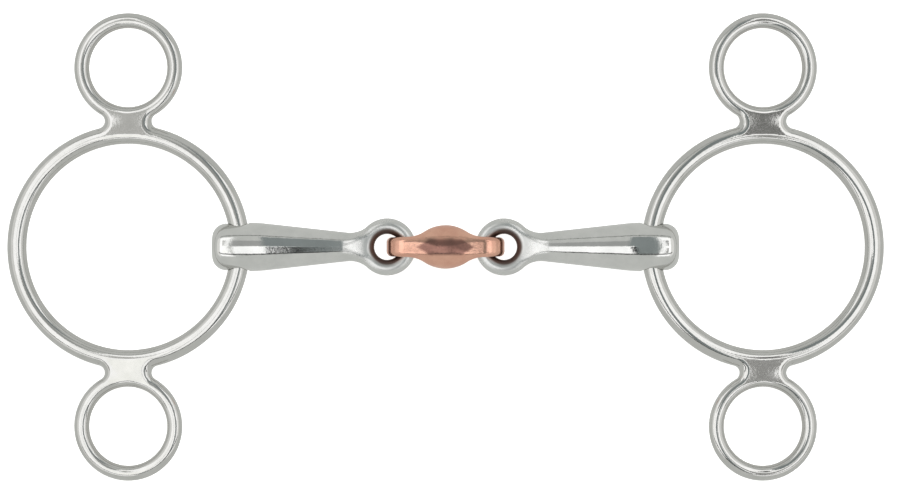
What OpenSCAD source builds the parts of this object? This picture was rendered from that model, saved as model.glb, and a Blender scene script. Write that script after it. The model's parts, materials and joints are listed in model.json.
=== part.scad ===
// Loose-ring jointed bit with a copper lozenge and three-ring cheeks.
// It lies flat at rest: +X runs along the mouthpiece to the right cheek, +Y is towards the
// bridle rings, +Z is up. The origin is under the middle of the lozenge, on the ground.
// Millimetres.

/* [Mouthpiece] */
// Mouth size, between the inner edges of the two main rings
mouth_w = 124; // [105:0.5:150]
// Largest diameter of each cannon, near its ring end
butt_d = 15.5; // [13:0.1:18]
// Length of cannon beyond the wire of the main ring
butt_end = 8.8; // [8.6:0.2:9.6]
// Radius of the rounded edge at the ring end
butt_round = 4.3; // [3:0.1:5]
// Distance from the main ring's wire back to the thickest place of the cannon
butt_back = 2; // [1.5:0.1:6]
// Radius of the long crown over the thickest place
crown_r = 60; // [40:1:70]
// Half angle of the taper from the crown down to the neck
taper = 6.3; // [5:0.1:7]
// Play between the main ring's wire and its hole in the cannon, on each side
hole_play = 0.15; // [0.1:0.01:0.4]

/* [Link eyes] */
// Distance from the middle of the bit to the centre of each eye
eye_x = 18.5; // [18:0.1:20]
// Diameter of the hole in each eye
eye_hole = 8.2; // [8:0.1:8.8]
// Thickness of the metal round the eye
eye_wire = 5; // [4.4:0.1:5]
// Radius of the fillet between the eye and the neck
eye_fillet = 8; // [6:0.5:10]

/* [Copper lozenge] */
// Diameter of the lozenge in the middle
lozenge_d = 13.9; // [12:0.1:14]
// Radius along the length of the middle bulge
bulge_r = 12; // [11:0.1:14]
// Steepest slope of the bulge, in degrees
bulge_slope = 34; // [28:1:36]
// Diameter of the waist before each loop
waist_d = 6.6; // [6:0.1:7.2]
// Width of each loop along its hinge axis
loop_w = 6.2; // [5:0.1:6.4]
// Thickness of the metal round each loop
loop_wall = 3.4; // [3:0.1:3.5]
// Play between the eye and the loop, on each side
loop_play = 0.9; // [0.6:0.05:1]

/* [Cheeks] */
// Outside diameter of the main ring
main_d = 77.6; // [64:0.1:84]
// Wire diameter of the main ring
main_wire = 6.1; // [5:0.1:6.4]
// Inside diameter of the bridle ring and the rein ring
small_hole = 25; // [20:0.1:32]
// Wire diameter of the bridle ring and the rein ring
small_wire = 4.8; // [4:0.1:5.2]
// Gap between the outer edges of the main ring and a small ring
ring_gap = 0.8; // [0.8:0.1:3]
// Radius of the hollow curve on each side of the web between two rings
web_round = 2.3; // [2:0.1:4]
// Play between a web and the main ring's wire
web_play = 0.1; // [0.05:0.01:0.2]

/* [Hidden] */
$fn = 96;
bulge_fn = 180;
crown_fn = 360;
eps = 0.01;
steel = [0.78, 0.78, 0.76];
bright_steel = [0.83, 0.83, 0.81];
copper = [0.80, 0.52, 0.42];

// Rings
main_wire_r = main_wire / 2;
main_r = main_d / 2 - main_wire_r;
small_wire_r = small_wire / 2;
small_r = small_hole / 2 + small_wire_r;
small_outer = small_r + small_wire_r;
small_y = main_d / 2 + ring_gap + small_outer;

// The hollow curve of a web touches the outer edge of both rings
web_a = main_d / 2 + web_round;
web_b = small_outer + web_round;
web_y = (web_a * web_a - web_b * web_b + small_y * small_y) / (2 * small_y);
web_x = sqrt(web_a * web_a - web_y * web_y);
web_low = [web_x, web_y] * (main_d / 2) / web_a;
web_high = [0, small_y] + [web_x, web_y - small_y] * small_outer / web_b;

// Link: the hinge axis is the centre of the eye's rim and of the loop's hole
eye_wire_r = eye_wire / 2;
eye_r = eye_hole / 2 + eye_wire_r;
eye_outer = eye_r + eye_wire_r;
link_x = eye_x - eye_r;
loop_hole_r = eye_wire_r + loop_play;
loop_r = loop_hole_r + loop_wall / 2;
loop_outer = loop_hole_r + loop_wall;

// Lozenge: a convex bulge, then a hollow curve down to the waist
bulge_x = bulge_r * sin(bulge_slope);
bulge_y = lozenge_d / 2 - bulge_r * (1 - cos(bulge_slope));
hollow_r = (bulge_y - waist_d / 2) / (1 - cos(bulge_slope));
hollow_x = bulge_x + hollow_r * sin(bulge_slope);

// Cannon, with distances measured along its own axis from the hinge of the link.
// The ring's wire bends inside its hole, so the hole lies half that bend further out.
butt_r = butt_d / 2;
wire_x = mouth_w / 2 + main_wire_r - link_x;
wire_bend = main_r - sqrt(main_r * main_r - butt_r * butt_r);
hole_x = wire_x + wire_bend / 2;
hole_r = main_wire_r + wire_bend / 2 + hole_play;
crown_x = wire_x - butt_back;
end_x = wire_x + butt_end;
taper_x = crown_x - crown_r * sin(taper);
taper_r = butt_r - crown_r * (1 - cos(taper));
// The neck begins neck_gap past the eye, and the tip sinks a little into the eye's rim
neck_gap = 3;
neck_x = eye_r + eye_outer + neck_gap;
neck_r = taper_r - (taper_x - neck_x) * tan(taper);
tip_sink = 0.6;
tip_x = 2 * eye_r - tip_sink;
tip_r = 0.9 * eye_wire_r;
corner_x = end_x - butt_round;
corner_r = butt_r - crown_r
    + sqrt(pow(crown_r - butt_round, 2) - pow(corner_x - crown_x, 2));
shoulder_t = 0.85 * eye_wire;
fillet_y = neck_r + eye_fillet;
fillet_x = eye_r + sqrt(pow(eye_outer + eye_fillet, 2) - fillet_y * fillet_y);
shoulder_x = eye_r + (fillet_x - eye_r) * eye_outer / (eye_outer + eye_fillet);
shoulder_y = fillet_y * eye_outer / (eye_outer + eye_fillet);

// Rest pose: the lozenge, both ring ends and the far side of both main rings touch the ground
lozenge_z = max(lozenge_d / 2, loop_outer);
cannon_tilt = asin((butt_r - lozenge_z) / crown_x);
hole_z = lozenge_z + hole_x * sin(cannon_tilt);
hole_world_x = link_x + hole_x * cos(cannon_tilt);
ring_x = main_r - wire_bend / 2;
cheek_tilt = asin((hole_z - main_wire_r) / (ring_x + main_r));

// A round ring of wire in the XY plane
module wire_ring(radius, wire_radius) {
    rotate_extrude()
        translate([radius, 0])
            circle(wire_radius);
}

// Puts a part drawn for the right-hand side (1) on the left-hand side (-1) if asked
module on_side(side) {
    if (side < 0)
        mirror([1, 0, 0])
            children();
    else
        children();
}

// Outline of a cannon, turned about Y: radius along X, distance from the hinge along Y
module cannon_outline() {
    polygon([[0, tip_x], [tip_r, tip_x], [neck_r, neck_x], [taper_r, taper_x],
             [0, taper_x]]);
    intersection() {
        translate([butt_r - crown_r, crown_x])
            circle(crown_r, $fn = crown_fn);
        polygon([[0, taper_x], [2 * butt_r, taper_x],
                 [2 * corner_r - butt_r + crown_r, 2 * corner_x - crown_x],
                 [corner_r, corner_x], [0, corner_x]]);
    }
    translate([0, corner_x - eps])
        square([corner_r, butt_round + eps]);
    intersection() {
        translate([corner_r, corner_x])
            circle(butt_round);
        polygon([[corner_r, corner_x],
                 [2 * corner_r - butt_r + crown_r, 2 * corner_x - crown_x],
                 [corner_r, end_x + butt_round]]);
    }
}

// Flat shoulder that carries the neck into the eye with a hollow curve on each side
module eye_shoulder() {
    translate([0, 0, -shoulder_t / 2])
        linear_extrude(shoulder_t)
            difference() {
                polygon([[eye_r, 0], [shoulder_x, shoulder_y], [fillet_x, neck_r],
                         [fillet_x, -neck_r], [shoulder_x, -shoulder_y]]);
                for (s = [-1, 1])
                    translate([fillet_x, s * fillet_y])
                        circle(eye_fillet);
                translate([eye_r, 0])
                    circle(eye_r);
            }
}

// One half of the mouthpiece, with its eye at the hinge and its axis along +X
module cannon() {
    difference() {
        union() {
            rotate([0, 90, 0])
                rotate_extrude()
                    cannon_outline();
            translate([eye_r, 0, 0])
                wire_ring(eye_r, eye_wire_r);
            eye_shoulder();
        }
        translate([hole_x, 0, 0])
            rotate([90, 0, 0])
                cylinder(h = 2 * butt_d, r = hole_r, center = true);
    }
}

module place_cannon(side) {
    on_side(side)
        translate([link_x, 0, lozenge_z])
            rotate([0, -cannon_tilt, 0])
                children();
}

// The children are drawn about the centre of the main ring
module place_cheek(side) {
    on_side(side)
        translate([hole_world_x, 0, hole_z])
            rotate([0, cheek_tilt, 0])
                translate([ring_x, 0, 0])
                    children();
}

// A strap ring with the web that joins it to the main ring. The web is a saddle on the wire.
module strap_ring() {
    translate([0, small_y, 0])
        wire_ring(small_r, small_wire_r);
    difference() {
        translate([0, 0, -small_wire_r])
            linear_extrude(small_wire)
                difference() {
                    polygon([[-web_low[0], main_r], [web_low[0], main_r], web_low, web_high,
                             [-web_high[0], web_high[1]], [-web_low[0], web_low[1]]]);
                    for (s = [-1, 1])
                        translate([s * web_x, web_y])
                            circle(web_round);
                    translate([0, small_y])
                        circle(small_r);
                }
        wire_ring(main_r, main_wire_r + web_play);
    }
}

module lozenge_outline() {
    difference() {
        union() {
            intersection() {
                translate([lozenge_d / 2 - bulge_r, 0])
                    circle(bulge_r, $fn = bulge_fn);
                translate([0, -bulge_x])
                    square([lozenge_d / 2, 2 * bulge_x]);
            }
            translate([0, -hollow_x])
                square([bulge_y, 2 * hollow_x]);
        }
        for (s = [-1, 1])
            translate([waist_d / 2 + hollow_r, s * hollow_x])
                circle(hollow_r, $fn = bulge_fn);
    }
}

// One closed loop of the lozenge, with its hinge axis along Y
module link_loop() {
    rotate([90, 0, 0])
        rotate_extrude() {
            translate([loop_hole_r, -(loop_w - loop_wall) / 2])
                square([loop_wall, loop_w - loop_wall]);
            for (s = [-1, 1])
                translate([loop_r, s * (loop_w - loop_wall) / 2])
                    circle(loop_wall / 2);
        }
}

module copper_lozenge() {
    color(copper)
        translate([0, 0, lozenge_z]) {
            difference() {
                rotate([0, 90, 0])
                    rotate_extrude()
                        lozenge_outline();
                for (s = [-1, 1])
                    translate([s * link_x, 0, 0])
                        rotate([90, 0, 0])
                            cylinder(h = 2 * lozenge_d, r = loop_hole_r, center = true);
            }
            for (s = [-1, 1])
                translate([s * link_x, 0, 0])
                    link_loop();
        }
}

module left_cannon() {
    color(steel)
        place_cannon(-1)
            cannon();
}

module right_cannon() {
    color(steel)
        place_cannon(1)
            cannon();
}

module left_main_ring() {
    color(bright_steel)
        place_cheek(-1)
            wire_ring(main_r, main_wire_r);
}

module right_main_ring() {
    color(bright_steel)
        place_cheek(1)
            wire_ring(main_r, main_wire_r);
}

module left_bridle_ring() {
    color(bright_steel)
        place_cheek(-1)
            strap_ring();
}

module right_bridle_ring() {
    color(bright_steel)
        place_cheek(1)
            strap_ring();
}

module left_rein_ring() {
    color(bright_steel)
        place_cheek(-1)
            mirror([0, 1, 0])
                strap_ring();
}

module right_rein_ring() {
    color(bright_steel)
        place_cheek(1)
            mirror([0, 1, 0])
                strap_ring();
}

copper_lozenge();
left_cannon();
right_cannon();
left_main_ring();
left_bridle_ring();
left_rein_ring();
right_main_ring();
right_bridle_ring();
right_rein_ring();
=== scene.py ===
"""Visual model of the loose-ring bit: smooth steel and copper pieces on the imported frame."""
import json
import math

import bpy
import numpy as np
from mathutils import Matrix, Vector


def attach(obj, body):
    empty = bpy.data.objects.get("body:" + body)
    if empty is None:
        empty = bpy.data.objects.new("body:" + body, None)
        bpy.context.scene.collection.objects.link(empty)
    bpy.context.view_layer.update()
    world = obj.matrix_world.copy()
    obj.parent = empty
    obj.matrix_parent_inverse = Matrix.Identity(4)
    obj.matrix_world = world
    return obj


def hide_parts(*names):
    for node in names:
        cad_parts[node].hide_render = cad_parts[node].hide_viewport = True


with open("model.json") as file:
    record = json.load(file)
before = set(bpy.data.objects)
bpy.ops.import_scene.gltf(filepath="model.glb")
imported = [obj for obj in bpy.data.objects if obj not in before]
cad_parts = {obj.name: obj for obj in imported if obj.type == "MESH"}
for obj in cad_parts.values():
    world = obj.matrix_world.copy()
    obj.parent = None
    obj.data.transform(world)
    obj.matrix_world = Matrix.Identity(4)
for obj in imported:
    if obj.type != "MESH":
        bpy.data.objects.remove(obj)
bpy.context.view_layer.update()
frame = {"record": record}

MM = 0.001
JOINTS = {j["name"]: j for j in frame["record"]["behaviour"]["joints"]}

# ---------------------------------------------------------------- sizes, in millimetres
# Rings: radius of the wire's centre line, radius of the wire, distance of the small rings' centres
# from the main ring's
MAIN_R, MAIN_WIRE = 35.75, 3.05
SMALL_R, SMALL_WIRE, SMALL_Y = 14.9, 2.4, 56.9
WEB_ROUND = 2.3
# Mouthpiece: the link's hinge is LINK_X from the middle, and a cannon's X runs from that hinge
MOUTH_W = 124
LINK_X = 11.9
EYE_R, EYE_WIRE, EYE_FILLET = 6.6, 2.5, 8.0
BUTT_R, CROWN_R, TAPER = 7.75, 60.0, math.radians(6.3)
BUTT_END, BUTT_BACK, BUTT_ROUND = 8.8, 2.0, 4.3
HOLE_PLAY = 0.15
WIRE_X = MOUTH_W / 2 + MAIN_WIRE - LINK_X
WIRE_BEND = MAIN_R - math.sqrt(MAIN_R**2 - BUTT_R**2)
HOLE_X = WIRE_X + WIRE_BEND / 2
HOLE_R = MAIN_WIRE + WIRE_BEND / 2 + HOLE_PLAY
CROWN_X, END_X = WIRE_X - BUTT_BACK, WIRE_X + BUTT_END
TAPER_X = CROWN_X - CROWN_R * math.sin(TAPER)
TAPER_R = BUTT_R - CROWN_R * (1 - math.cos(TAPER))
# Lozenge
LOOP_HOLE, LOOP_WALL, LOOP_W = 3.4, 3.4, 6.2
LOZENGE_R, BULGE_R, BULGE_SLOPE, WAIST_R = 6.95, 12.0, math.radians(34), 3.3
# Where one section eases into the next: across a web, along a cannon, and along the lozenge
WEB_FADE = 37.5, 43.0
NECK_FADE, BUTT_FADE = (11.5, 21.5), (22.0, 26.0)
CROWN_FADE, EDGE_FADE, LOOP_FADE = (0, 8), (2, 11), (11, 17)
# Softness of the drilled holes' edges, and how much sharper the lozenge's edges get at its ends
RING_HOLE_EDGE, LOOP_HOLE_EDGE = 0.3, 2.4
EDGE_LOSS = 0.45
# For each piece: opposite corners of a box that holds it, and the size of its mesh cells
CANNON_GRID = (-3.6, -10.2, -8.8), (64, 10.2, 8.8), 0.34
CHEEK_GRID = (-39.6, -75.4, -3.9), (39.6, 75.4, 3.9), 0.37
LOZENGE_GRID = (-19.8, -8.1, -8.1), (19.8, 8.1, 8.1), 0.28


# ---------------------------------------------------------------- distance fields
def smooth_max(a, b, k):
    """The larger of two distances, blended where they differ by less than k."""
    h = np.maximum(k - np.abs(a - b), 0) / k
    return np.maximum(a, b) + h * h * k / 4


def ease(value, low, high):
    """Smooth step from 0 at low to 1 at high."""
    t = np.clip((value - low) / (high - low), 0, 1)
    return t * t * (3 - 2 * t)


def rounded_plate(outline, z, half):
    """A flat outline given full round edges of radius half. A ring comes out as round wire."""
    return np.hypot(np.maximum(outline + half, 0), z) - half


def cheek_field(p):
    """Main ring, two small rings and the webs, as one outline with round edges."""
    x, y, z = np.abs(p[..., 0]), np.abs(p[..., 1]), p[..., 2]
    from_main, from_small = np.hypot(x, y), np.hypot(x, y - SMALL_Y)
    half = MAIN_WIRE + (SMALL_WIRE - MAIN_WIRE) * ease(from_main, *WEB_FADE)
    a = MAIN_R + MAIN_WIRE + WEB_ROUND
    b = SMALL_R + SMALL_WIRE + WEB_ROUND
    cy = (a * a - b * b + SMALL_Y**2) / (2 * SMALL_Y)
    cx = math.sqrt(a * a - cy * cy)
    outer = np.minimum(from_main - MAIN_R - MAIN_WIRE, from_small - SMALL_R - SMALL_WIRE)
    # between the two lines of centres the outline is the hollow curve of the web
    web = (x * cy < y * cx) & (x * (SMALL_Y - cy) < (SMALL_Y - y) * cx)
    outer = np.where(web, WEB_ROUND - np.hypot(x - cx, y - cy), outer)
    outline = np.maximum(outer, MAIN_R - MAIN_WIRE - from_main)
    outline = np.maximum(outline, SMALL_R - SMALL_WIRE - from_small)
    return rounded_plate(outline, z, half)


def butt_distance(x, rho):
    """Signed distance to the turned body from the taper to the rounded end."""
    cone = (rho - TAPER_R) * math.cos(TAPER) - (x - TAPER_X) * math.sin(TAPER)
    crown = np.hypot(x - CROWN_X, rho - (BUTT_R - CROWN_R)) - CROWN_R
    kx = END_X - BUTT_ROUND
    kr = BUTT_R - CROWN_R + math.sqrt((CROWN_R - BUTT_ROUND) ** 2 - (kx - CROWN_X) ** 2)
    corner = np.hypot(x - kx, rho - kr) - BUTT_ROUND
    past = (x - CROWN_X) * (kr - BUTT_R + CROWN_R) > (rho - BUTT_R + CROWN_R) * (kx - CROWN_X)
    end = np.where(rho < kr, x - END_X, corner)
    return np.where(x < TAPER_X, cone, np.where(past & (x > kx), end, crown))


def eye_outline(x, y):
    """Plan of the eye and neck: a disc, a hollow curve and the line of the taper."""
    y = np.abs(y)
    disc = EYE_R + EYE_WIRE
    along = np.array([math.cos(TAPER), math.sin(TAPER)])
    up = np.array([-along[1], along[0]])
    start = np.array([TAPER_X, TAPER_R]) + EYE_FILLET * up - np.array([EYE_R, 0.0])
    b = start @ along
    slide = -b + math.sqrt(b * b - start @ start + (disc + EYE_FILLET) ** 2)
    cx, cy = start + slide * along + np.array([EYE_R, 0.0])
    line = (y - TAPER_R) * along[0] - (x - TAPER_X) * along[1]
    eye = np.hypot(x - EYE_R, y) - disc
    neck_side = (x - cx) * along[0] + (y - cy) * along[1] > 0
    eye_side = (x - EYE_R) * cy < y * (cx - EYE_R)
    curve = EYE_FILLET - np.hypot(x - cx, y - cy)
    return np.where(neck_side, line, np.where(eye_side, eye, curve))


def cannon_field(p):
    """Turned butt, neck, eye and the hole for the main ring."""
    x, y, z = p[..., 0], p[..., 1], p[..., 2]
    radius = TAPER_R - (TAPER_X - x) * math.tan(TAPER)
    half = EYE_WIRE + (np.maximum(radius, EYE_WIRE) - EYE_WIRE) * ease(x, *NECK_FADE)
    half = np.clip(half, EYE_WIRE, TAPER_R)
    hole = EYE_R - EYE_WIRE - np.hypot(x - EYE_R, y)
    thin = rounded_plate(np.maximum(eye_outline(x, y), hole), z, half)
    thick = butt_distance(x, np.hypot(y, z))
    share = ease(x, *BUTT_FADE)
    body = thin * (1 - share) + thick * share
    ring_hole = np.hypot(x - HOLE_X, z) - HOLE_R
    return smooth_max(body, -ring_hole, RING_HOLE_EDGE)


def lozenge_field(p):
    """Link with straight round-ended sides, drilled at both ends, and a bulge with hollow
    shoulders in plan. Its edges are rounded, less so round the loops."""
    x, y, z = np.abs(p[..., 0]), np.abs(p[..., 1]), p[..., 2]
    bx = BULGE_R * math.sin(BULGE_SLOPE)
    by = LOZENGE_R - BULGE_R * (1 - math.cos(BULGE_SLOPE))
    hr = (by - WAIST_R) / (1 - math.cos(BULGE_SLOPE))
    hx = bx + hr * math.sin(BULGE_SLOPE)
    bulge = LOZENGE_R - BULGE_R + np.sqrt(BULGE_R**2 - np.minimum(x, bx) ** 2)
    hollow = WAIST_R + hr - np.sqrt(hr**2 - np.clip(x - hx, bx - hx, 0) ** 2)
    width = np.where(x < bx, bulge, hollow)
    width = width - (WAIST_R - LOOP_W / 2) * ease(x, *LOOP_FADE)
    loop_outer = LOOP_HOLE + LOOP_WALL
    height = loop_outer + (LOZENGE_R - loop_outer) * (1 - ease(x, *CROWN_FADE))
    edge = width * (1 - EDGE_LOSS * ease(x, *EDGE_FADE))
    side = np.hypot(np.maximum(x - LINK_X, 0), z) - height + edge
    across = y - width + edge
    body = (np.hypot(np.maximum(side, 0), np.maximum(across, 0))
            + np.minimum(np.maximum(side, across), 0) - edge)
    return smooth_max(body, LOOP_HOLE - np.hypot(x - LINK_X, z), LOOP_HOLE_EDGE)


# ---------------------------------------------------------------- meshing
def surface_net(field, low, high, step):
    """Quads of the field's zero surface: one vertex per cell the surface crosses."""
    low, high = np.array(low, float), np.array(high, float)
    count = np.ceil((high - low) / step).astype(int) + 1
    axes = [low[i] + step * np.arange(count[i]) for i in range(3)]
    grid = np.stack(np.meshgrid(*axes, indexing="ij"), -1)
    inside = field(grid) < 0
    corners = [inside[i:count[0] - 1 + i, j:count[1] - 1 + j, k:count[2] - 1 + k]
               for i in (0, 1) for j in (0, 1) for k in (0, 1)]
    total = sum(c.astype(int) for c in corners)
    active = (total > 0) & (total < 8)
    index = -np.ones(active.shape, int)
    index[active] = np.arange(active.sum())
    verts = low + step * (np.argwhere(active) + 0.5)
    quads = []
    for axis in range(3):
        u, v = (axis + 1) % 3, (axis + 2) % 3
        here = np.moveaxis(inside, (axis, u, v), (0, 1, 2))
        cell = np.moveaxis(index, (axis, u, v), (0, 1, 2))
        a, b = here[:-1, 1:-1, 1:-1], here[1:, 1:-1, 1:-1]
        around = [cell[:, :-1, :-1], cell[:, 1:, :-1], cell[:, 1:, 1:], cell[:, :-1, 1:]]
        for cross, order in ((a & ~b, (0, 1, 2, 3)), (b & ~a, (3, 2, 1, 0))):
            quads.append(np.stack([around[i][cross] for i in order], -1))
    return verts, np.concatenate(quads)


def gradient(field, p, eps=0.01):
    """Slope of the field at each point, by central differences."""
    out = np.empty_like(p)
    for i in range(3):
        d = np.zeros(3)
        d[i] = eps
        out[:, i] = (field(p + d) - field(p - d)) / (2 * eps)
    return out


SETTLE_ROUNDS, NEWTON_STEPS, SLIDE = 6, 3, 0.6
LONGEST_STEP, LEAST_SLOPE = 0.3, 0.2


def unit(g):
    """Vectors brought to length 1."""
    return g / np.maximum(np.linalg.norm(g, axis=1), 1e-6)[:, None]


def settle(field, verts, quads):
    """Slides vertices evenly over the surface and back onto it."""
    a = quads.ravel()
    b = np.roll(quads, -1, axis=1).ravel()
    for turn in range(SETTLE_ROUNDS + 1):
        for _ in range(NEWTON_STEPS):
            g = gradient(field, verts)
            g2 = np.maximum((g * g).sum(1), LEAST_SLOPE)
            off = np.clip(field(verts), -LONGEST_STEP, LONGEST_STEP)
            verts = verts - g * (off / g2)[:, None]
        if turn == SETTLE_ROUNDS:
            break
        total, share = np.zeros_like(verts), np.zeros(len(verts))
        for s, t in ((a, b), (b, a)):
            for i in range(3):
                total[:, i] += np.bincount(s, verts[t, i], len(verts))
            share += np.bincount(s, minlength=len(verts))
        move = total / share[:, None] - verts
        n = unit(gradient(field, verts))
        verts = verts + SLIDE * (move - n * (move * n).sum(1)[:, None])
    return verts, unit(gradient(field, verts))


def build(name, field, grid, place, body, nodes, material, wear_and_shade):
    """One closed smooth piece from a distance field, put in the frame by the matrix place.

    grid is the box and cell size it is meshed in, body what it rides, nodes what it replaces,
    and the last argument gives, from 0 to 1, how worn each of its points is and how much painted
    shade and painted reflection darken it.
    """
    low, high, step = grid
    verts, quads = surface_net(field, low, high, step)
    verts, normals = settle(field, verts, quads)
    rot, move = np.array(place.to_3x3()), np.array(place.translation)
    world = verts * MM @ rot.T + move
    if place.to_3x3().determinant() < 0:
        quads = quads[:, ::-1]
    mesh = bpy.data.meshes.new(name)
    mesh.from_pydata(world.tolist(), [], quads.tolist())
    mesh.update()
    mesh.shade_smooth()
    turned = normals @ rot.T
    mesh.normals_split_custom_set_from_vertices(turned.tolist())
    local = mesh.attributes.new("piece_mm", "FLOAT_VECTOR", "POINT")
    local.data.foreach_set("vector", verts.astype(np.float32).ravel())
    worn_and_shade = mesh.attributes.new("wear_and_shade", "FLOAT", "POINT")
    worn_and_shade.data.foreach_set("value", np.clip(wear_and_shade(verts), 0, 1).astype(np.float32))
    obj = bpy.data.objects.new(name, mesh)
    bpy.context.scene.collection.objects.link(obj)
    mesh.materials.append(material)
    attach(obj, body)
    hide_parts(*nodes)


# ---------------------------------------------------------------- materials
class Nodes:
    """Short calls for making and linking shader nodes."""

    def __init__(self, name):
        self.material = bpy.data.materials.new(name)
        self.material.use_nodes = True
        self.tree = self.material.node_tree
        self.shader = next(n for n in self.tree.nodes if n.type == "BSDF_PRINCIPLED")

    def add(self, kind, **values):
        node = self.tree.nodes.new(kind)
        for key, value in values.items():
            if hasattr(node, key):
                setattr(node, key, value)
            else:
                node.inputs[key.replace("_", " ")].default_value = value
        return node

    def link(self, source, target):
        self.tree.links.new(source, target)

    def attribute(self, name):
        return self.add("ShaderNodeAttribute", attribute_name=name)

    def noise(self, vector, scale, detail, rough, stretch=None):
        if stretch:
            mapping = self.add("ShaderNodeMapping")
            mapping.inputs["Scale"].default_value = stretch
            self.link(vector, mapping.inputs["Vector"])
            vector = mapping.outputs["Vector"]
        node = self.add("ShaderNodeTexNoise", Scale=scale, Detail=detail, Roughness=rough)
        self.link(vector, node.inputs["Vector"])
        return node.outputs["Fac"]

    def remap(self, value, low, high, to_low, to_high):
        node = self.add("ShaderNodeMapRange")
        for key, v in (("From Min", low), ("From Max", high),
                       ("To Min", to_low), ("To Max", to_high)):
            node.inputs[key].default_value = v
        self.link(value, node.inputs["Value"])
        return node.outputs["Result"]

    def math(self, operation, a, b):
        node = self.add("ShaderNodeMath", operation=operation)
        for i, v in enumerate((a, b)):
            if isinstance(v, (int, float)):
                node.inputs[i].default_value = v
            else:
                self.link(v, node.inputs[i])
        return node.outputs[0]

    def ramp(self, value, stops):
        node = self.add("ShaderNodeValToRGB")
        for element, (place, color) in zip(node.color_ramp.elements, stops):
            element.position = place
            element.color = (*color, 1)
        self.link(value, node.inputs["Fac"])
        return node.outputs["Color"]

    def color(self, rgb):
        node = self.add("ShaderNodeRGB")
        node.outputs[0].default_value = (*rgb, 1)
        return node.outputs[0]

    def mix(self, factor, a, b):
        node = self.add("ShaderNodeMix", data_type="RGBA")
        self.link(factor, node.inputs["Factor"])
        # a mix node has a pair of inputs and an output for each kind of data: these are colour's
        self.link(a, node.inputs[6])
        self.link(b, node.inputs[7])
        return node.outputs[2]

    def bump(self, height, strength, distance, normal=None):
        node = self.add("ShaderNodeBump", Strength=strength, Distance=distance)
        self.link(height, node.inputs["Height"])
        if normal:
            self.link(normal, node.inputs["Normal"])
        return node.outputs["Normal"]


# Marks on the metal are noise over a piece's own millimetres: scale, detail and roughness
SMUDGE, HAZE, SCRATCHES = (0.16, 4, 0.6), (1.3, 3, 0.5), (1.0, 2, 0.5)
# The stretch of each noise's value over which its effect comes in
TONE_RANGE, SMUDGE_RANGE, HAZE_RANGE = (0.32, 0.72), (0.3, 0.75), (0.4, 0.8)
ALONG_RANGE, ACROSS_RANGE = (0.55, 0.8), (0.6, 0.85)
# Strength and depth of the bumps, and how fully a place marked by wear and by painted shade and
# painted reflection takes the dark colour
GRAIN_BUMP, HAZE_BUMP = (0.06, 0.00002), (0.04, 0.0003)
WEAR_AND_SHADE_SHARE = 0.9


def polished_metal(name, clean, toned, worn_and_shade, rough, hairline, satin=None):
    """Polished metal with toned patches, fine hairlines and duller, darker places: some rubbed,
    some painted shade and painted reflection.

    clean, toned and the worn colour after them are colours; the worn colour is what rubbed places,
    painted shade and painted reflection take. rough is the roughness of clean and toned metal,
    then what haze and the rubbed and shaded places add. hairline stretches the fine scratches
    along X, Y and Z.
    satin gives the X range over which the finish goes dull, and the roughness added there.
    """
    m = Nodes(name)
    place = m.attribute("piece_mm").outputs["Vector"]
    rub_and_shade = m.attribute("wear_and_shade").outputs["Fac"]
    smudge = m.noise(place, *SMUDGE)
    haze = m.noise(place, *HAZE)
    along = m.noise(place, *SCRATCHES, stretch=hairline)
    across = m.noise(place, *SCRATCHES, stretch=(hairline[1], hairline[2], hairline[0]))
    base = m.ramp(smudge, zip(TONE_RANGE, (clean, toned)))
    color = m.mix(m.math("MULTIPLY", rub_and_shade, WEAR_AND_SHADE_SHARE), base, m.color(worn_and_shade))
    m.link(color, m.shader.inputs["Base Color"])
    m.shader.inputs["Metallic"].default_value = 1.0
    fine = m.remap(smudge, *SMUDGE_RANGE, rough[0], rough[1])
    fine = m.math("ADD", fine, m.remap(haze, *HAZE_RANGE, 0.0, rough[2]))
    fine = m.math("ADD", fine, m.math("MULTIPLY", rub_and_shade, rough[3]))
    if satin:
        split = m.add("ShaderNodeSeparateXYZ")
        m.link(place, split.inputs[0])
        fine = m.math("ADD", fine, m.remap(split.outputs["X"], *satin))
    m.link(fine, m.shader.inputs["Roughness"])
    grain = m.math("ADD", m.remap(along, *ALONG_RANGE, 0, 1),
                   m.remap(across, *ACROSS_RANGE, 0, 1))
    normal = m.bump(grain, *GRAIN_BUMP)
    normal = m.bump(haze, *HAZE_BUMP, normal)
    m.link(normal, m.shader.inputs["Normal"])
    return m.material


# the steel's dark worn colour is painted shade, taken inside the eye and the ring hole
STEEL = polished_metal(
    "polished_steel",
    clean=(0.78, 0.78, 0.765),
    toned=(0.69, 0.695, 0.68),
    worn_and_shade=(0.075, 0.04, 0.03),
    rough=(0.05, 0.1, 0.05, 0.14),
    hairline=(0.5, 9.0, 9.0),
    satin=(26.0, 14.0, 0.0, 0.2))
RING_STEEL = polished_metal(
    "ring_steel",
    clean=(0.7, 0.695, 0.68),
    toned=(0.61, 0.61, 0.59),
    worn_and_shade=(0.48, 0.46, 0.43),
    rough=(0.05, 0.09, 0.04, 0.12),
    hairline=(5.0, 5.0, 0.6))
# the copper's dark worn colour is painted shade inside the loops and a painted dark reflection on
# the crown
COPPER = polished_metal(
    "polished_copper",
    clean=(0.9, 0.53, 0.395),
    toned=(0.77, 0.415, 0.31),
    worn_and_shade=(0.24, 0.115, 0.1),
    rough=(0.13, 0.22, 0.06, 0.04),
    hairline=(0.6, 8.0, 8.0))


# ---------------------------------------------------------------- pieces
def joint_at(name):
    """Where a joint sits in the frame, in metres."""
    return Vector(JOINTS[name]["pos_m"])


# painted shade in the cannon's eye: the distances over which it fades out
EYE_SHADE_FADE = 1.2, 2.2
EYE_END = 2.3 * EYE_R
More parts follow.
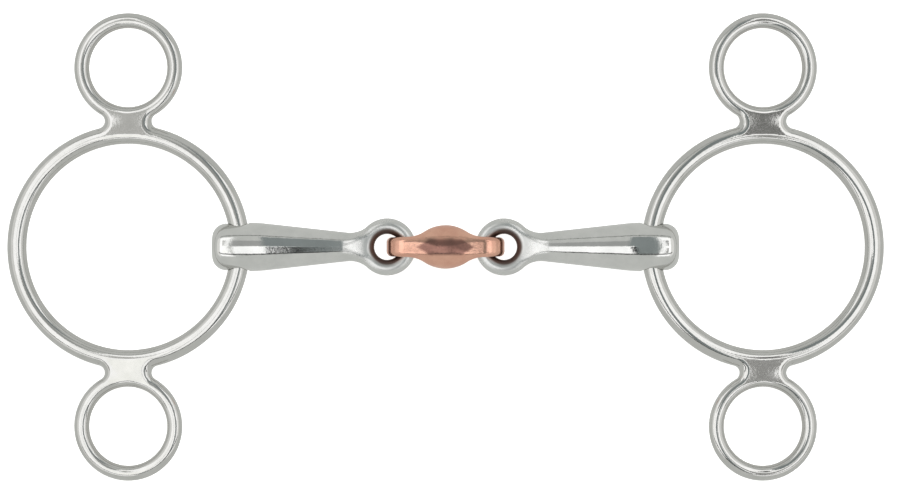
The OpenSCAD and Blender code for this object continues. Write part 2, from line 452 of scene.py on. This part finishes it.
# rubbing and painted shade round the ring hole: strength, inset and fade
HOLE_RUB_SHADE, HOLE_SHADE_INSET, HOLE_SHADE_FADE = 0.6, 0.4, 0.9
SMALL_RUB_FADE = 0.9
MAIN_RUB, MAIN_RUB_FADE = 0.6, 1.2
CHEEK_RUB = 0.6
# painted shade inside the lozenge's loops fades out over this distance
LOOP_SHADE_FADE = 0.8
# a painted dark reflection on the copper's crown: its reach in x and y, its fade and its darkness
PATCH_X, PATCH_Y, PATCH_FADE, PATCH_DARKNESS = 10, 6.2, (0.80, 1.0), 0.9


def cannon_shade_and_wear(p):
    """Painted shade darkens the inside of the eye, and round the mouths of the ring hole the metal
    is rubbed and darkened with painted shade.
    """
    # painted shade: the eye's bore is darkened to stand for the shade inside it
    into_eye = np.hypot(p[:, 0] - EYE_R, p[:, 1]) - EYE_R + EYE_WIRE
    eye = np.where(p[:, 0] < EYE_END, 1 - ease(into_eye, *EYE_SHADE_FADE), 0)
    # the ring hole's bore and mouths: rougher where rubbed, and darkened with painted shade where
    # the wire enters
    into_metal = np.hypot(p[:, 0] - HOLE_X, p[:, 2]) - HOLE_R
    hole = HOLE_RUB_SHADE - (into_metal + HOLE_SHADE_INSET) / HOLE_SHADE_FADE
    return np.maximum(eye, hole)


def wear_cheek(p):
    """Rubbed all along the inside of the small rings, and a little inside the main ring."""
    from_small = np.hypot(p[:, 0], np.abs(p[:, 1]) - SMALL_Y) - (SMALL_R - SMALL_WIRE)
    from_main = np.hypot(p[:, 0], p[:, 1]) - (MAIN_R - MAIN_WIRE)
    small = 1 - np.abs(from_small) / SMALL_RUB_FADE
    main = MAIN_RUB - np.abs(from_main) / MAIN_RUB_FADE
    return CHEEK_RUB * np.maximum(small, main)


def lozenge_shade_and_reflection(p):
    """Painted shade inside the loops, where the eyes bear, and a painted dark reflection along the
    crown of each face.
    """
    x, y, z = np.abs(p[:, 0]), np.abs(p[:, 1]), p[:, 2]
    # painted shade inside the loops
    loops = 1 - (np.hypot(x - LINK_X, z) - LOOP_HOLE) / LOOP_SHADE_FADE
    # painted dark reflection along the crown of each face
    patch = 1 - ease(np.maximum(x / PATCH_X, 0.5) + y / PATCH_Y, *PATCH_FADE)
    return np.maximum(loops, PATCH_DARKNESS * patch)


def side_matrix(sign, origin, toward):
    """Local +X runs to origin's side along toward, local +Z is up, mirrored on the left."""
    x = Vector(toward).normalized()
    y = Vector((0, 1, 0))
    z = Vector((-sign * x.z, 0, sign * x.x))
    matrix = Matrix((x, y, z)).transposed().to_4x4()
    matrix.translation = origin
    return matrix


for side, sign in (("left", -1), ("right", 1)):
    hinge = joint_at(f"{side}_cannon_fold")
    hole = joint_at(f"{side}_cheek_swivel")
    centre = joint_at(f"{side}_cheek_run_through")
    build(f"{side}_cannon_steel", cannon_field, CANNON_GRID,
          place=side_matrix(sign, hinge, hole - hinge),
          body=f"{side}_cannon", nodes=[f"{side}_cannon"],
          material=STEEL, wear_and_shade=cannon_shade_and_wear)
    build(f"{side}_cheek_steel", cheek_field, CHEEK_GRID,
          place=side_matrix(sign, centre, centre - hole),
          body=f"{side}_strap_rings",
          nodes=[f"{side}_main_ring", f"{side}_bridle_ring", f"{side}_rein_ring"],
          material=RING_STEEL, wear_and_shade=wear_cheek)

build("lozenge_copper", lozenge_field, LOZENGE_GRID,
      place=Matrix.Translation((0, 0, joint_at("left_cannon_fold").z)),
      body="lozenge", nodes=["copper_lozenge"],
      material=COPPER, wear_and_shade=lozenge_shade_and_reflection)


# ---------------------------------------------------------------- studio
MATT = 0.9


def flat_material(name, color, strength, base=(0, 0, 0)):
    """A matt surface that glows with the given colour and strength."""
    m = bpy.data.materials.new(name)
    m.use_nodes = True
    shader = next(n for n in m.node_tree.nodes if n.type == "BSDF_PRINCIPLED")
    shader.inputs["Base Color"].default_value = (*base, 1)
    shader.inputs["Roughness"].default_value = MATT
    shader.inputs["Emission Color"].default_value = (*color, 1)
    shader.inputs["Emission Strength"].default_value = strength
    return m


def card(name, x, y, color, strength, height=0.40, near_x=None):
    """A flat reflector overhead, given by its ranges in x and y. Only reflections see it.
    Its near edge may have an x range of its own."""
    mesh = bpy.data.meshes.new(name)
    near = near_x or x
    corners = [(near[0], y[0]), (x[0], y[1]), (x[1], y[1]), (near[1], y[0])]
    mesh.from_pydata([(a, b, height) for a, b in corners], [], [(0, 1, 2, 3)])
    obj = bpy.data.objects.new(name, mesh)
    bpy.context.scene.collection.objects.link(obj)
    mesh.materials.append(flat_material(name, color, strength))
    obj.visible_camera = obj.visible_diffuse = obj.visible_shadow = False


PAPER, PAPER_GLOW = (0.97, 0.97, 0.97), 0.7
FLOOR_HALF, FLOOR_DROP = 3, 0.0002
floor_mesh = bpy.data.meshes.new("floor")
floor_corners = [(x * FLOOR_HALF, y * FLOOR_HALF, 0)
                 for x, y in ((-1, -1), (1, -1), (1, 1), (-1, 1))]
floor_mesh.from_pydata(floor_corners, [], [(0, 1, 2, 3)])
floor = bpy.data.objects.new("floor", floor_mesh)
floor.location.z = -FLOOR_DROP
# the metal's lower half mirrors the grey room, so its edges stand out against the pale floor
floor.visible_glossy = False
bpy.context.scene.collection.objects.link(floor)
floor_mesh.materials.append(flat_material("floor", PAPER, PAPER_GLOW, PAPER))

WHITE, WALL_GREY, BLACK = (1, 1, 1), (0.84, 0.84, 0.82), (0.01, 0.01, 0.01)
WINDOW_GLOW = 1.32
# a tent of white and grey cards, which gives the metal its bands of light
card("left_window", (-0.45, -0.155), (-0.42, 0.42), WHITE, WINDOW_GLOW)
card("left_wall", (-1.20, -0.46), (-0.60, 0.60), WALL_GREY, 1.0)
card("right_window", (0.150, 0.42), (-0.42, 0.42), WHITE, WINDOW_GLOW)
card("right_wall", (0.43, 1.20), (-0.60, 0.60), WALL_GREY, 1.0)
card("key_window", (-0.138, 0.024), (-0.25, 0.02), WHITE, 1.3)
card("soft_pane", (-0.148, 0.0), (0.02, 0.22), (0.40, 0.41, 0.40), 1.0)
card("pale_pane", (-0.148, 0.0), (0.22, 0.53), (0.60, 0.61, 0.59), 1.0)
card("dim_pane", (-0.006, 0.143), (-0.25, 0.45), (0.25, 0.28, 0.28), 1.0, 0.402)
card("camera_shade", (0.013, 0.034), (-0.25, 0.0), BLACK, 0.0, 0.39, (0.024, 0.043))
card("sill", (-0.62, 0.62), (-0.30, -0.25), BLACK, 0.0, 0.395)
card("lintel", (-0.62, 0.62), (0.53, 0.60), (0.16, 0.17, 0.16), 1.0, 0.395)
# a narrow grey card for each web, whose almost flat face mirrors one strip of the room
FLAG_X, FLAG_HALF, FLAG_NEAR, FLAG_FAR, FLAG_HEIGHT = 0.195, 0.022, 0.035, 0.23, 0.388
for spot, x_side, y_side, grey in (("left_upper", -1, 1, 0.58),
                                   ("left_lower", -1, -1, 1.30),
                                   ("right_upper", 1, 1, 0.215),
                                   ("right_lower", 1, -1, 0.36)):
    card(f"{spot}_flag", (x_side * FLAG_X - FLAG_HALF, x_side * FLAG_X + FLAG_HALF),
         sorted((y_side * FLAG_NEAR, y_side * FLAG_FAR)), (grey, grey, 0.97 * grey), 1.0,
         FLAG_HEIGHT)

world = bpy.data.worlds.new("studio")
bpy.context.scene.world = world
world.use_nodes = True
wt = world.node_tree
# the camera sees white, and everything else is lit by a grey room
background = next(n for n in wt.nodes if n.type == "BACKGROUND")
ROOM_GREY = (0.62, 0.63, 0.61, 1)
background.inputs["Color"].default_value = ROOM_GREY
backdrop = wt.nodes.new("ShaderNodeBackground")
backdrop.inputs["Color"].default_value = (*WHITE, 1)
rays = wt.nodes.new("ShaderNodeLightPath")
choose = wt.nodes.new("ShaderNodeMixShader")
wt.links.new(rays.outputs["Is Camera Ray"], choose.inputs["Fac"])
wt.links.new(background.outputs[0], choose.inputs[1])
wt.links.new(backdrop.outputs[0], choose.inputs[2])
world_out = next(n for n in wt.nodes if n.type == "OUTPUT_WORLD")
wt.links.new(choose.outputs[0], world_out.inputs["Surface"])

LAMP_WATTS, LAMP_SIZE, LAMP_PLACE = 5, (0.9, 0.7), (0.1, 0.25, 0.9)
lamp = bpy.data.lights.new("softbox", "AREA")
lamp.shape = "RECTANGLE"
lamp.size, lamp.size_y = LAMP_SIZE
lamp.energy = LAMP_WATTS
lamp_obj = bpy.data.objects.new("softbox", lamp)
lamp_obj.location = LAMP_PLACE
lamp_obj.rotation_euler = Vector(LAMP_PLACE).to_track_quat("Z", "Y").to_euler()
lamp_obj.visible_glossy = False
bpy.context.scene.collection.objects.link(lamp_obj)

# ---------------------------------------------------------------- camera
camera = bpy.data.cameras.new("camera")
camera.lens = 120
camera.sensor_width = 36
camera_obj = bpy.data.objects.new("camera", camera)
bpy.context.scene.collection.objects.link(camera_obj)
# straight overhead: the picture is as wide as VIEW_WIDTH at the height of the wires
VIEW_WIDTH = 285.75 * MM
AIM = (0.0014, 0.0006, 0.005)
distance = VIEW_WIDTH * camera.lens / camera.sensor_width
camera_obj.location = (AIM[0], AIM[1], AIM[2] + distance)
camera_obj.rotation_euler = (0, 0, 0)
bpy.context.scene.camera = camera_obj
bpy.context.scene.view_settings.view_transform = "Standard"
